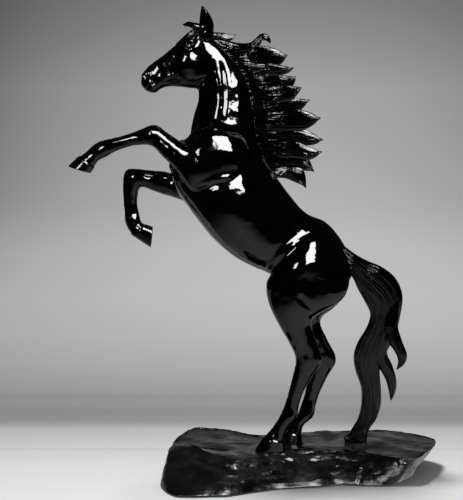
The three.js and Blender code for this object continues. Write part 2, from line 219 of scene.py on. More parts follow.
def read(piece, what):
    values = np.empty(len(piece.data.vertices) * 3)
    piece.data.vertices.foreach_get(what, values)
    return values.reshape(-1, 3)


def movePoints(piece, points):
    piece.data.vertices.foreach_set("co", points.ravel())
    piece.data.update()


octaveFade, octaveStep = 1.0, 2.1  # how each octave of the lumps fades, and how much finer it is


# Smooth random heights from about -1 to 1 at points in metres, with lumps of one size in metres.
def lumps(points, size, octaves, seed):
    shift = Vector((seed * 3.1, seed * 1.7, seed * 2.3))
    at = (Vector(point) / size + shift for point in points)
    return np.array([noise.fractal(place, octaveFade, octaveStep, octaves) for place in at])


# Selects chosen faces in edit mode and runs an operator on them.
def onFaces(piece, chosen, operator, **settings):
    pick(piece)
    bpy.ops.object.mode_set(mode="EDIT")
    bpy.ops.mesh.select_mode(type="FACE")
    bpy.ops.mesh.select_all(action="DESELECT")
    skin = bmesh.from_edit_mesh(piece.data)
    for face in skin.faces:
        face.select_set(bool(chosen(face)))
    skin.select_flush_mode()
    bmesh.update_edit_mesh(piece.data)
    operator(**settings)
    bpy.ops.mesh.select_mode(type="VERT")
    bpy.ops.object.mode_set(mode="OBJECT")


# The body: trunk, neck, head and legs as rows of sections, and the muscles that stand proud of them.
body = {
    "voxel": 0.002,
    "trunk": [
        [-230, 709, -286, 635, 39, 0], [-171, 738, -275, 592, 64, 0], [-122, 720, -250, 556, 77, 0],
        [-68, 646, -194, 483, 83, 0], [-25, 586, -145, 440, 70, 0], [18, 538, -99, 415, 59, 0],
        [63, 517, -58, 397, 51, 0], [104, 468, -11, 358, 45, 0], [121, 422, 55, 335, 38, 0],
    ],
    "neck": [
        [-189, 925, -223, 854, 22, 0], [-158, 898, -223, 821, 24, 0], [-129, 866, -224, 792, 28, 0],
        [-109, 818, -233, 763, 33, 0], [-100, 767, -240, 734, 41, 0], [-93, 716, -245, 696, 49, 0],
        [-77, 662, -252, 651, 58, 0],
    ],
    "head": [
        [-202, 938, -194, 836, 23, 0], [-229, 947, -212, 818, 25, 0], [-250, 934, -236, 818, 27, 0],
        [-271, 916, -263, 820, 23, 0], [-302, 891, -290, 821, 18, 0], [-331, 870, -310, 815, 15, 0],
        [-344, 856, -321, 809, 16, 0], [-351, 838, -334, 812, 13, 0],
    ],
    "nearFore": [
        [-140, 723, -111, 665, 14, -39], [-189, 737, -140, 624, 25, -55], [-222, 720, -184, 609, 27, -62],
        [-242, 696, -231, 596, 28, -65], [-247, 693, -273, 640, 26, -65], [-270, 709, -303, 671, 22, -64],
        [-292, 724, -319, 689, 19, -62], [-319, 740, -331, 695, 19, -60], [-337, 735, -343, 696, 17, -60],
        [-355, 727, -360, 694, 13, -60], [-385, 717, -376, 691, 12, -60], [-416, 709, -406, 681, 12, -60],
        [-443, 702, -430, 667, 15, -60], [-461, 689, -444, 661, 13, -60], [-473, 678, -448, 655, 14, -60],
        [-487, 669, -454, 646, 17, -60],
    ],
    "farFore": [
        [-194, 711, -172, 643, 14, 42], [-222, 688, -211, 585, 25, 55], [-252, 653, -238, 553, 27, 58],
        [-277, 625, -270, 563, 25, 58], [-306, 627, -301, 573, 22, 57], [-332, 629, -330, 583, 19, 55],
        [-356, 632, -352, 592, 19, 53], [-389, 631, -361, 587, 19, 53], [-397, 606, -364, 571, 15, 53],
        [-397, 567, -365, 557, 12, 53], [-395, 535, -363, 536, 12, 53], [-394, 514, -359, 518, 15, 53],
        [-387, 496, -356, 509, 13, 53], [-377, 482, -347, 505, 17, 53],
    ],
    "nearHind": [
        [3, 480, 88, 485, 27, -27], [-39, 432, 115, 432, 38, -41], [-72, 388, 116, 394, 39, -43],
        [-73, 368, 111, 366, 40, -44], [-70, 350, 95, 342, 38, -46], [-62, 326, 58, 322, 34, -48],
        [-48, 298, 29, 300, 27, -49], [-26, 259, 38, 261, 20, -48],
        [-9, 226, 51, 225, 17, -47], [-6, 207, 54, 209, 16, -47], [-11, 179, 31, 171, 13, -46],
        [-22, 133, 11, 133, 12, -44], [-32, 100, 1, 100, 12, -43], [-43, 76, -2, 78, 16, -42],
        [-60, 50, -25, 45, 14, -41], [-77, 30, -31, 21, 18, -40],
    ],
    "farHind": [
        [28, 473, 101, 473, 27, 27], [-28, 421, 121, 421, 38, 41], [-57, 374, 121, 381, 39, 43],
        [-55, 354, 117, 352, 40, 44], [-50, 336, 101, 329, 38, 46], [-40, 312, 82, 310, 34, 47],
        [-22, 285, 55, 288, 27, 48], [8, 243, 68, 245, 20, 47],
        [29, 206, 89, 204, 17, 46], [31, 188, 91, 188, 16, 46], [25, 159, 72, 154, 13, 45],
        [19, 114, 53, 113, 12, 44], [10, 86, 45, 86, 12, 43], [3, 65, 40, 61, 16, 42],
        [-12, 41, 16, 40, 14, 41], [-28, 24, 11, 18, 18, 40],
    ],
    # rings, sides and slimming of the first point's side
    "make": {
        "trunk": (60, 64, 0.25), "neck": (40, 48, (0, 0, 0.1, 0.25)), "head": (50, 48, 0.12),
        "nearFore": (90, 40, 0.1), "farFore": (80, 40, 0.1),
        "nearHind": (90, 48, (-0.8, -0.35, -0.1, 0.1, 0.1)),
        "farHind": (90, 48, (-0.8, -0.35, -0.1, 0.1, 0.1)),
    },
    "ends": (0.5, 0.6),  # roundness at the first row and the last
    "legTop": 250, "foreX": -300,  # the legs are below and in front of these
    "looseSmooth": 34, "smooth": 5, "strokeSmooth": 4,
    # middle, radii and tilt, on both sides
    "paired": [
        ((-246, -17, 872), (27, 13, 32), 0),  # jowl
        ((-241, -20, 919), (14, 8, 8), -35),  # brow
        ((-341, -10, 846), (11, 8, 9), -40),  # nostril
        ((-252, -22, 664), (34, 30, 40), -30),  # breast
    ],
    # middle, radii, tilt and depth of the lower half
    "single": [
        ((-326, 0, 817), (14, 12, 10), 10, 1),  # chin
        ((-188, -40, 662), (78, 46, 80), 10, 0.58),  # near shoulder and upper arm
        ((-198, 38, 650), (76, 46, 78), 10, 0.58),  # far shoulder
        ((-44, -48, 372), (26, 33, 34), 0, 0.8),  # near stifle
        ((-30, 47, 360), (26, 33, 34), 0, 0.8),  # far stifle
        ((-327, -61, 716), (15, 20, 22), -20, 1),  # near knee
        ((-374, 54, 610), (19, 20, 20), 40, 1),  # far knee
    ],
}


def bodyForms():
    forms = []
    for name, (count, sides, narrow) in body["make"].items():
        rings = roundedRings(ringsOf(body[name], count, sides, narrow), *body["ends"])
        forms.append(addSkin(name, metres(rings)))
    for number, (middle, radii, tilt) in enumerate(body["paired"]):
        for side in (1, -1):
            forms.append(addSwell(f"paired{number}", (middle[0], middle[1] * side, middle[2]), radii, tilt))
    for number, (middle, radii, tilt, lower) in enumerate(body["single"]):
        forms.append(addSwell(f"single{number}", middle, radii, tilt, lower))
    return forms


# Strokes of the modelling tool: (path, width, depth, side). The path is [x, z] in the side view, the side is
# nearSide, farSide or 0 for both, and a positive depth raises. Ledges are high to the left of their path.
strokes = {
    "body": [
        ([[-216, 720], [-190, 727], [-160, 727], [-130, 716]], 6, -4, nearSide),  # top of the shoulder
        ([[-254, 708], [-240, 716], [-216, 720]], 6, -4, 0),  # neck above the breast
        ([[-238, 700], [-229, 682], [-222, 662], [-219, 640]], 2.2, -1.3, nearSide),  # top of the forearm
        ([[-214, 812], [-212, 775], [-210, 735]], 11, -3, 0),  # groove of the throat
        ([[-184, 905], [-167, 879], [-158, 834], [-156, 789], [-162, 738]], 6.5, 1.7, 0),  # neck muscle
        ([[-187, 879], [-183, 845], [-178, 800], [-185, 744]], 5, 1.1, 0),  # and the one before it
        ([[-178, 870], [-170, 838], [-167, 800], [-172, 745]], 4, -1.2, 0),  # furrow between them
        ([[0, 364], [8, 350], [20, 338], [30, 328]], 5, -5, nearSide),  # gaskin under the buttock
        ([[16, 352], [26, 338], [40, 326], [52, 318]], 5, -4, farSide),
        ([[8, 258], [10, 236], [20, 216]], 5, -2.5, nearSide),  # hollow of the hock
        ([[44, 240], [50, 222], [60, 204]], 5, -2.5, farSide),
        ([[12, 172], [2, 140], [-8, 108]], 3.5, -2, nearSide),  # groove before the tendons
        ([[54, 152], [42, 120], [34, 92]], 3.5, -2, farSide),
        ([[-366, 700], [-390, 698], [-420, 690]], 3.5, -2, nearSide),
        ([[-374, 560], [-372, 536], [-370, 520]], 3.5, -2, farSide),
    ],
    "bodyLedges": [
        ([[-136, 634], [-156, 620], [-182, 616], [-211, 605], [-233, 596], [-250, 612], [-264, 634]],
         6, -3.2, nearSide),
        ([[-150, 622], [-172, 604], [-196, 590], [-224, 574], [-244, 562]], 6, -3, farSide),
        ([[-78, 400], [-68, 428], [-44, 456], [-16, 478], [14, 492]], 7, -2, nearSide),
        ([[-66, 392], [-54, 420], [-32, 448], [-4, 470], [26, 484]], 7, -2, farSide),
    ],
    "head": [
        ([[-251, 907], [-245, 911], [-239, 911]], 7, -3.5, 0),  # eye socket
        ([[-257, 919], [-250, 926], [-241, 924], [-232, 915]], 3.5, 2.5, 0),  # brow
        ([[-226, 925], [-216, 918]], 8, -2.5, 0),  # temple
        ([[-276, 850], [-262, 859], [-250, 863], [-234, 866]], 4.5, 0.8, 0),  # facial crest
        ([[-332, 860], [-310, 874], [-290, 886], [-268, 899]], 6.5, 1.6, 0),  # side of the nose bone
        ([[-318, 846], [-298, 858], [-280, 866]], 5, -1.6, 0),  # hollow before the cheek
        ([[-306, 838], [-290, 845], [-272, 850]], 3, 1.2, 0),  # jaw bar
        ([[-300, 828], [-282, 834], [-262, 836]], 4, -1.4, 0),
        ([[-247, 838], [-228, 838], [-206, 846]], 3, -1.6, 0),  # fold of the jowl
        ([[-216, 826], [-206, 830], [-199, 840]], 4, -2, 0),  # throat latch
        ([[-350, 852], [-344, 856], [-336, 853], [-331, 845]], 3, 1.6, 0),  # rim of the nostril
        ([[-345, 849], [-343, 844], [-338, 840]], 3, -5, 0),  # nostril
        ([[-352, 810], [-338, 818], [-326, 826], [-317, 830]], 2.2, -2.6, 0),  # mouth
        ([[-346, 822], [-334, 829], [-324, 834]], 3, 1.2, 0),  # upper lip
    ],
    "headLedges": [
        ([[-206, 850], [-214, 838], [-228, 830], [-243, 829], [-255, 835], [-263, 846], [-269, 857]],
         3.5, -1.8, 0),
    ],
}


# points along a stroke, over how many it fades in, how weak its ends are and how far it reaches in widths
press = {"stops": 40, "fade": 8, "least": 0.1, "reach": 3, "facing": 2.5, "ledge": 0.9}


def pressStrokes(points, normals, paths, ledge):
    moved = points.copy()
    for path, width, depth, side in paths:
        line = curveThrough(path, press["stops"])
        reach = press["reach"] * width
        low, high = line.min(axis=0) - reach, line.max(axis=0) + reach
        flat = points[:, [0, 2]]
        near = np.all((flat > low) & (flat < high), axis=1)
        if side:
            near &= points[:, 1] * side > 0
        chosen = np.nonzero(near)[0]
        apart = flat[chosen][:, None, :] - line[None, :, :]
        distance = np.linalg.norm(apart, axis=2)
        closest = distance.argmin(axis=1)
        gap = distance[np.arange(len(chosen)), closest]
        inward = np.minimum(closest, press["stops"] - 1 - closest) / press["fade"]
        fade = np.clip(inward, 0, 1) * (1 - press["least"]) + press["least"]
        facing = np.clip(np.abs(normals[chosen, 1]) * press["facing"], 0, 1)
        if ledge:
            heading = np.gradient(line, axis=0)[closest]
            offset = apart[np.arange(len(chosen)), closest]
            turned = heading[:, 0] * offset[:, 1] - heading[:, 1] * offset[:, 0]
            gap = np.sign(turned) * gap / width
            profile = gap * np.exp(0.5 - gap * gap / 2) * press["ledge"]
        else:
            profile = np.exp(-((gap / width) ** 2))
        moved[chosen] += normals[chosen] * (profile * depth * fade * facing)[:, None]
    return moved


# The hand-finished skin is never quite even: slow waves over the whole body.
skinWaves = {"long": 0.034, "longHeight": 0.0004, "short": 0.012, "shortHeight": 0.00022, "lift": 0.0004}
(headFront, headBack), (headLow, headTop) = (-360, -200), (795, 960)  # the head, which gets a finer mesh


def makeBody():
    horse = joined("horse_body", bodyForms())
    modified(horse, "REMESH", mode="VOXEL", voxel_size=body["voxel"], use_smooth_shade=True)
    points = thousandths(read(horse, "co"))
    head = (points[:, 0] < headBack) & (points[:, 2] > headLow)
    legs = (points[:, 2] < body["legTop"]) | (points[:, 0] < body["foreX"])
    loose = horse.vertex_groups.new(name="loose")
    loose.add(np.nonzero(~head & ~legs)[0].tolist(), 1, "REPLACE")
    modified(horse, "SMOOTH", factor=0.5, iterations=body["looseSmooth"], vertex_group="loose")
    modified(horse, "SMOOTH", factor=0.5, iterations=body["smooth"])
    points, normals = thousandths(read(horse, "co")), read(horse, "normal")
    points = pressStrokes(points, normals, strokes["body"], False)
    points = pressStrokes(points, normals, strokes["bodyLedges"], True)
    movePoints(horse, metres(points))
    modified(horse, "SMOOTH", factor=0.5, iterations=body["strokeSmooth"])

    def inHead(face):
        x, _, z = thousandths(face.calc_center_median())
        return headFront < x < headBack and headLow < z < headTop

    onFaces(horse, inHead, bpy.ops.mesh.subdivide, number_cuts=1, smoothness=1, quadcorner="INNERVERT")
    points, normals = thousandths(read(horse, "co")), read(horse, "normal")
    points = pressStrokes(points, normals, strokes["head"], False)
    points = pressStrokes(points, normals, strokes["headLedges"], True)
    movePoints(horse, metres(points))
    points, normals = read(horse, "co"), read(horse, "normal")
    waves = skinWaves["longHeight"] * lumps(points, skinWaves["long"], 1, 1)
    waves += skinWaves["shortHeight"] * lumps(points, skinWaves["short"], 2, 2)
    movePoints(horse, points + normals * (waves + skinWaves["lift"])[:, None])
    horse.vertex_groups.clear()
    return horse


# Eyes: a ball in each socket with an upper and a lower lid over it, as paths with their thickness.
eyes = {
    "middle": (-245, 17.5, 910), "radius": 8.0,
    "lids": [([[-254, 905], [-251, 913], [-245, 918], [-238, 916], [-234, 909]], 2.4),
             ([[-254, 905], [-249, 903], [-243, 902], [-237, 904], [-234, 909]], 1.6)],
    "stops": 24, "sides": 12, "flatter": 0.72, "sink": 0.6, "corner": 0.35, "ends": 0.8,
}


def lidTube(path, side, thick):
    line = curveThrough(path, eyes["stops"])
    middleX, middleY, middleZ = eyes["middle"]
    along, out = circle(eyes["sides"])
    heading = np.gradient(line, axis=0)
    heading /= np.linalg.norm(heading, axis=1)[:, None]
    rings = []
    for (x, z), (dx, dz), step in zip(line, heading, np.linspace(0, 1, len(line))):
        away = math.hypot(x - middleX, z - middleZ)
        depth = math.sqrt(max(eyes["radius"] ** 2 - (eyes["flatter"] * away) ** 2, 1))
        width = thick * (eyes["corner"] + (1 - eyes["corner"]) * math.sin(math.pi * step))
        y = side * (middleY + depth - eyes["sink"]) + width * out
        rings.append(np.stack([x - dz * width * along, y, z + dx * width * along], axis=1))
    return addSkin("lid", metres(roundedRings(rings, eyes["ends"], eyes["ends"])))


def makeEyes():
    made = []
    for side in (nearSide, farSide):
        x, y, z = eyes["middle"]
        made.append(addSwell("eyeball", (x, y * side, z), (eyes["radius"],) * 3))
        made += [lidTube(path, side, thick) for path, thick in eyes["lids"]]
    return made


# Ears: leaves with a cup pressed in along the side that opens forwards and outwards.
ears = {
    "rows": [[-221, 930, -192, 924, 13, 15], [-223, 948, -190, 944, 12.5, 17], [-222, 964, -190, 960, 12, 20],
             [-220, 982, -197, 978, 8, 25], [-216, 998, -210, 996, 2, 31]],
    "opening": 48,  # degrees from straight ahead
    "cup": 0.62,  # share of the radius that the cup takes
    "cupWidth": 0.62, "cupFrom": 0.18, "cupRise": 0.2, "cupTip": 0.12,
    "rings": 44, "sides": 64, "ends": (0.3, 1),
}


def makeEar(side):
    rows = [[x1, z1, x2, z2, half, side * y] for x1, z1, x2, z2, half, y in ears["rows"]]
    rings = ringsOf(rows, ears["rings"], ears["sides"])
    off = np.angle(np.exp(1j * (turnsOf(ears["sides"]) - side * math.radians(ears["opening"]))))
    level = np.linspace(0, 1, ears["rings"])[:, None]
    deep = ears["cup"] * np.exp(-((off / ears["cupWidth"]) ** 2))
    deep = deep * np.clip((level - ears["cupFrom"]) / ears["cupRise"], 0, 1)
    deep *= np.clip((1 - level) / ears["cupTip"], 0, 1)
    middle = rings.mean(axis=1, keepdims=True)
    rings = middle + (rings - middle) * (1 - deep)[:, :, None]
    return addSkin("ear", metres(roundedRings(rings, *ears["ends"])))


# Hooves: horn lofted from the coronet at the leg's end to a flat sole from toe to heel.
hooves = {
    "nearFore": {"toe": [-511, 648], "heel": [-461, 633], "half": 20},
    "farFore": {"toe": [-335, 452], "heel": [-330, 500], "half": 20},
    "nearHind": {"toe": [-97, 0], "heel": [-27, 0], "half": 21},
    "farHind": {"toe": [-47, 0], "heel": [14, 0], "half": 21},
    "flare": 1.12, "rings": 40, "sides": 72, "ripple": 0.0015, "ripples": 34,
    "heelBlunt": 0.72,  # the heels are squarer than the toe
    "hollow": (0.0022, 0.0016, 0.0018),  # rim, depth and slope of the raised soles in metres
    # level from coronet to sole, and how far the wall stands out there
    "wall": [(-0.1, 0.88), (0.0, 0.95), (0.06, 0.98), (0.13, 0.985), (0.19, 0.98), (0.3, 0.98),
             (0.5, 0.985), (0.75, 0.995), (0.94, 1.0), (0.985, 0.995), (1.0, 0.975)],
}


def makeHoof(leg):
    sole = hooves[leg]
    x1, z1, x2, z2, half, y = body[leg][-1]
    grow = lambda a, b: a + (a - b) * (hooves["flare"] - 1) / 2
    top = np.array([grow(x1, x2), grow(z1, z2), grow(x2, x1), grow(z2, z1), half * hooves["flare"], y])
    bottom = np.array([*sole["toe"], *sole["heel"], sole["half"], y], float)
    levels = curveThrough(hooves["wall"], hooves["rings"])
    levels[-1] = hooves["wall"][-1]
    along, out = circle(hooves["sides"])
    blunt = np.where(along < 0, hooves["heelBlunt"], 1.0)
    rings = []
    for level, stand in levels:
        row = top + (bottom - top) * min(level, 1)
        stand *= 1 + hooves["ripple"] * math.sin(level * hooves["ripples"])
        middle = np.array([(row[0] + row[2]) / 2, row[5], (row[1] + row[3]) / 2])
        reach = np.array([(row[0] - row[2]) / 2, 0, (row[1] - row[3]) / 2]) * stand
        width = row[4] * stand * np.sign(out) * np.abs(out) ** blunt
        rings.append(middle + reach * along[:, None] + np.stack([width * 0, width, width * 0], axis=1))
    horn = addSkin("hoof", metres(rings))
    lengthX, lengthZ = np.subtract(sole["toe"], sole["heel"])
    down = np.cross([0, 1, 0], [lengthX, 0, lengthZ])
    if np.dot(down, (bottom - top)[[0, 5, 1]]) < 0:
        down = -down
    down = Vector(down).normalized()
    flat = lambda face: len(face.verts) > 8 and face.normal.dot(down) > 0.8
    if leg.endswith("Fore"):
        rim, depth, slope = hooves["hollow"]
        onFaces(horn, flat, bpy.ops.mesh.inset, thickness=rim)
        onFaces(horn, flat, bpy.ops.mesh.extrude_region_move, TRANSFORM_OT_translate={"value": down * -depth})
        onFaces(horn, flat, bpy.ops.mesh.inset, thickness=slope)
    return horn


# Marks each point of a lock with its place in metres across the strands and along them, for the fine lines.
# shift keeps the lines of neighbouring locks apart.
def markHair(piece, across, flow, ringsBefore, shift):
    count, sides = across.shape
    spots = np.empty(len(piece.data.vertices), int)
    piece.data.attributes["spot"].data.foreach_get("value", spots)
    rows = np.clip(np.arange(len(spots)) // sides - ringsBefore, 0, count - 1)
    hair = piece.data.attributes.new("hair", "FLOAT_VECTOR", "POINT")
    places = across[rows, spots] * share, flow[rows, spots] * share
    marks = np.column_stack([*places, np.full(len(spots), shift)])
    hair.data.foreach_set("vector", marks.ravel())


# A lock whose strands run from ring to ring, closed at its ends.
def addLock(name, rings, start, end, shift):
    piece = addSkin(name, metres(roundedRings(rings, start, end)))
    length = lengthAlong(rings.mean(axis=1))
    width = np.linalg.norm(np.ptp(rings[:, :, [0, 2]], axis=1), axis=1).mean()
    along, _ = circle(rings.shape[1])
    across = np.ones((len(rings), 1)) * (1 + along) / 2 * width
    markHair(piece, across, length[:, None] * np.ones_like(across), endSteps if start else 0, shift)
    return piece


# How strands run. Sways and the split of fine strands go with their turns from root to tip.
comb = {"face": 1.7, "sway": (0.25, 0.7), "quickSway": (0.08, 1.9), "seedShift": 0.37, "split": (0.3, 0.9),
        "splitAcross": 5, "follow": 1.6, "edge": 0.4, "least": 0.1, "deepest": 0.45}


# Strands run from a lock's root to its tip. Each face of a lock has main strands and finer ones between.
def combed(rings, main, fine, mainDepth, fineDepth, seed, fadeRoot=0.0, fadeTip=0.12):
    count, sides, _ = rings.shape
    along, out = circle(sides)
    level = np.linspace(0, 1, count)[:, None]
    place = (1 + along) / 2
    face = np.where(out >= 0, comb["face"], 0.0)
    (slow, slowTurns), (quick, quickTurns) = comb["sway"], comb["quickSway"]
    split, splitTurns = comb["split"]
    sway = slow * np.sin(2 * np.pi * slowTurns * level + seed)
    sway = sway + quick * np.sin(2 * np.pi * quickTurns * level + 2 * along + seed * quickTurns)
    split = split * np.sin(2 * np.pi * splitTurns * level + comb["splitAcross"] * place + seed)
    mainComb = np.abs(np.sin(np.pi * (main * place + sway + face + comb["seedShift"] * seed)))
    fineComb = np.abs(np.sin(np.pi * (fine * place + comb["follow"] * sway + split + face)))
    fade = np.abs(out) ** comb["edge"] * np.ones_like(level)
    if fadeRoot:
        fade = fade * np.clip(level / fadeRoot, 0, 1)
    if fadeTip:
        fade = fade * np.clip((1 - level) / fadeTip, comb["least"], 1)
    cut = (mainComb - 1) * mainDepth + (fineComb - 1) * fineDepth
    across = (rings - rings.mean(axis=1, keepdims=True))[:, :, 1]
    thick = np.abs(across).max(axis=1, keepdims=True)
    combedRings = rings.copy()
    combedRings[:, :, 1] += np.sign(out) * np.maximum(cut * fade, -comb["deepest"] * thick)
    return combedRings


# Mane: ten blades blown back from the crest. Each is [tipX, tipZ, notchX, notchZ, upperBow, lowerBow,
# lean].
mane = {
    "blades": [
        [-27, 890, -68, 869, 4, -6, -4], [-13, 862, -48, 849, 1, -3, -9], [-7, 843, -25, 820, -4, -4, -5],
        [6, 819, -26, 791, -1, -5, -9], [23, 791, -23, 763, 0, -7, -4], [47, 751, -12, 727, 7, -6, -9],
        [53, 703, 6, 693, 5, -2, -5], [51, 676, 4, 665, -3, -8, -9], [34, 633, -6, 638, 11, 2, -5],
        [17, 597, -51, 621, 14, 8, -8],
    ],
    "top": [-90, 908], "root": 10, "overlap": 4, "rootDepth": 16, "firstRoot": 0.1, "lastRoot": 0.98,
    # way to the notches with its sag, and way from there to the tip, each with shares of root and lean
    "inner": [(0.4, -5, 0.72, 0.4), (0.9, 0, 0.86, 0.8)],
    "outer": [(0.4, 0.8, 1), (0.75, 0.72, 1.1), (0.92, 0.6, 1.25)],
    "rootShare": 0.6, "tipRise": 2.5, "tipHalf": 3.5, "tipLean": 1.4, "fullness": (0.2, 0.2, 0.22, 0.25, 0.6),
    "rings": 56, "sides": 96, "strands": 3, "fineStrands": 8, "strandDepth": 0.25, "fineDepth": 0.3,
    "tipFullness": 2.2, "end": 0.8, "seedStep": 1.3, "shiftStep": 0.1,
    "sheetHalf": 10, "sheetSink": 16, "sheetTuck": 6, "sheetRings": 90, "sheetSides": 80, "sheetNarrow": 0.3,
    "sheetFullness": 0.6, "sheetEnds": 0.5, "sheetFlow": 60, "sheetSlant": 0.25, "sheetShift": 0.05,
}
crest = curveThrough([[x, z] for x, z, *_ in body["neck"]] + [[-50, 620]], 200)


def crestAt(level):
    return np.array([np.interp(level, np.linspace(0, 1, len(crest)), column) for column in crest.T])


def maneBlade(number):
    tipX, tipZ, notchX, notchZ, upperBow, lowerBow, lean = mane["blades"][number]
    above = np.array(mane["blades"][number - 1][2:4] if number else mane["top"], float)
    notch, tip = np.array([notchX, notchZ], float), np.array([tipX, tipZ], float)
    stepDown = (mane["lastRoot"] - mane["firstRoot"]) / len(mane["blades"])
    upper, lower = (crestAt(mane["firstRoot"] + stepDown * row) for row in (number, number + 1))
    lift = np.array([0, 1])
    sink = np.array([mane["rootDepth"], 0])

    def inner(t, sag):
        return [*(upper + (above - upper) * t + lift * (mane["overlap"] + sag)),
                *(lower + (notch - lower) * t + lift * (sag - mane["overlap"]))]

    def outer(t):
        bulge = math.sin(math.pi * t)
        middle = (above + notch) / 2 * (1 - t) + tip * t
        half = (above - notch) / 2 * (1 - t ** mane["tipFullness"])
        return [*(middle + half + lift * upperBow * bulge), *(middle - half + lift * lowerBow * bulge)]

    root = mane["root"]
    rows = [[*(upper - sink), *(lower - sink), root * mane["rootShare"], 0]]
    rows += [[*inner(t, sag), root * thick, lean * turn] for t, sag, thick, turn in mane["inner"]]
    rows += [[*outer(t), root * thick, lean * turn] for t, thick, turn in mane["outer"]]
    rows.append([tipX, tipZ + mane["tipRise"], tipX - 1, tipZ - mane["tipRise"], mane["tipHalf"],
                 lean * mane["tipLean"]])
    rings = ringsOf(rows, mane["rings"], mane["sides"], 0, mane["fullness"])
    rings = combed(rings, mane["strands"], mane["fineStrands"], mane["strandDepth"], mane["fineDepth"],
                   number * mane["seedStep"])
    return addLock("blade", rings, 0, mane["end"], number * mane["shiftStep"])


# The sheet of hair that the blades grow from, between the crest and the notches. Its strands run across it.
def maneSheet():
    notches = np.array([mane["top"], *[blade[2:4] for blade in mane["blades"]]], float)
    levels = np.linspace(mane["firstRoot"], mane["lastRoot"], len(notches))
    rows = []
    for (x, z), level in zip(notches, levels):
        rootX, rootZ = crestAt(level)
        rows.append([x - mane["sheetTuck"], z, rootX - mane["sheetSink"], rootZ, mane["sheetHalf"], 0])
    count, sides = mane["sheetRings"], mane["sheetSides"]
    rings = ringsOf(rows, count, sides, mane["sheetNarrow"], mane["sheetFullness"])
    piece = addSkin("sheet", metres(roundedRings(rings, mane["sheetEnds"], mane["sheetEnds"])))
    length = lengthAlong(rings.mean(axis=1))[:, None]
    along, _ = circle(sides)
    flow = np.ones((count, 1)) * (1 + along) / 2 * mane["sheetFlow"]
    markHair(piece, length + mane["sheetSlant"] * flow, flow, endSteps, mane["sheetShift"])
    return piece


# Loose locks round the head: rows of sections and their main and fine strands.
looseLocks = {
    "curl": ([[-180, 932, -172, 896, 10, 0], [-140, 919, -132, 886, 11, 0], [-109, 919, -103, 896, 10, -2],
              [-97, 928, -89, 910, 8, -3], [-83, 939, -81, 922, 7, -4], [-70, 936, -75, 923, 6, -5],
              [-63, 924, -70, 920, 4, -5], [-63, 919, -67, 918, 2, -5]], 3, 8),
    "wisp": ([[-192, 942, -190, 924, 8, 3], [-168, 940, -166, 922, 7, 4], [-151, 936, -149, 924, 5, 5],
              [-140, 937, -143, 932, 2, 5]], 2, 6),
    "upperForelock": ([[-206, 954, -203, 930, 10, 1], [-222, 961, -218, 940, 9, 3],
                       [-234, 963, -231, 945, 8, 5], [-246, 965, -243, 952, 6, 8],
                       [-258, 960, -255, 955, 2, 10]], 2, 6),
    "lowerForelock": ([[-210, 954, -206, 934, 12, -3], [-226, 953, -222, 933, 12, -4],
                       [-243, 944, -237, 926, 11, -5], [-259, 930, -252, 919, 8, -5],
                       [-273, 917, -270, 911, 3, -4]], 2, 5),
}
lockMake = {"rings": 44, "sides": 72, "fullness": 0.8, "depths": (0.9, 0.6), "seed": 3.3, "ends": (0.3, 0.8)}


def makeMane():
    blades = [maneSheet(), *[maneBlade(number) for number in range(len(mane["blades"]))]]
    locks = []
    for number, (name, (rows, main, fine)) in enumerate(looseLocks.items()):
        rings = ringsOf(rows, lockMake["rings"], lockMake["sides"], 0, lockMake["fullness"])
        rings = combed(rings, main, fine, *lockMake["depths"], lockMake["seed"] + number)
        locks.append(addLock(name, rings, *lockMake["ends"], 1.1 + mane["shiftStep"] * number))
    return joined("horse_mane", [*blades, *locks])


# Tail: one heavy fall of hair to the rock, with two side locks and a toe that runs out on the rock.
tail = {
    "fall": [
        [90, 475, 102, 404, 19, 0], [126, 447, 122, 393, 19, 0], [157, 429, 137, 362, 18, 4],
        [191, 414, 153, 334, 18, 7], [223, 387, 165, 308, 19, 11], [239, 347, 163, 287, 19, 14],
        [234, 295, 154, 265, 20, 18], [222, 248, 138, 236, 19, 23], [204, 210, 130, 205, 19, 28],
        [192, 171, 135, 169, 18, 34], [195, 128, 148, 130, 17, 39], [196, 91, 150, 91, 16, 44],
        [187, 55, 143, 55, 16, 48], [168, 25, 128, 27, 16, 49], [164, 0, 112, 0, 18, 49],
    ],
    "lowLock": [
        [221, 339, 183, 316, 4, 7], [214, 262, 176, 250, 14, 14], [207, 212, 180, 196, 12, 21],
        [219, 184, 196, 165, 10, 25], [227, 159, 205, 147, 9, 28], [230, 137, 211, 126, 7, 30],
        [226, 115, 214, 111, 5, 31], [220, 102, 216, 101, 2, 31],
    ],
    "highLock": [
        [228, 362, 201, 339, 3, 4], [230, 305, 196, 284, 12, 2], [229, 275, 203, 258, 11, 0],
        [235, 254, 207, 241, 10, -2], [242, 235, 217, 227, 9, -4], [249, 216, 226, 211, 8, -5],
        [248, 201, 229, 198, 6, -5], [240, 188, 227, 187, 4, -5], [229, 180, 225, 181, 2, -5],
    ],
    "toe": [[146, 30, 150, 3, 12, 49], [126, 20, 130, 2, 10, 47], [113, 13, 115, 2, 6, 45]],
    # rings, sides and fullness, then strands, depths, seed and fades, then roundness of the ends and shift
    "make": {
        "fall": (150, 232, 0.8, (6, 15, 0.9, 1.0, 0.4, 0.06, 0), (0.5, 0, 2.1)),
        "lowLock": (70, 96, 0.9, (2, 7, 0.8, 0.6, 1.1), (0, 0.9, 2.3)),
        "highLock": (70, 96, 0.9, (2, 7, 0.8, 0.6, 2.6), (0, 0.9, 2.5)),
        "toe": (24, 48, 0.9, (2, 5, 0.8, 0.4, 0.7), (0, 0.7, 2.7)),
    },
}


def makeTail():
    locks = []
    for name, (count, sides, fullness, strands, ends) in tail["make"].items():
        rings = combed(ringsOf(tail[name], count, sides, 0, fullness), *strands)
        locks.append(addLock(name, rings, *ends))
    return joined("horse_tail", locks)


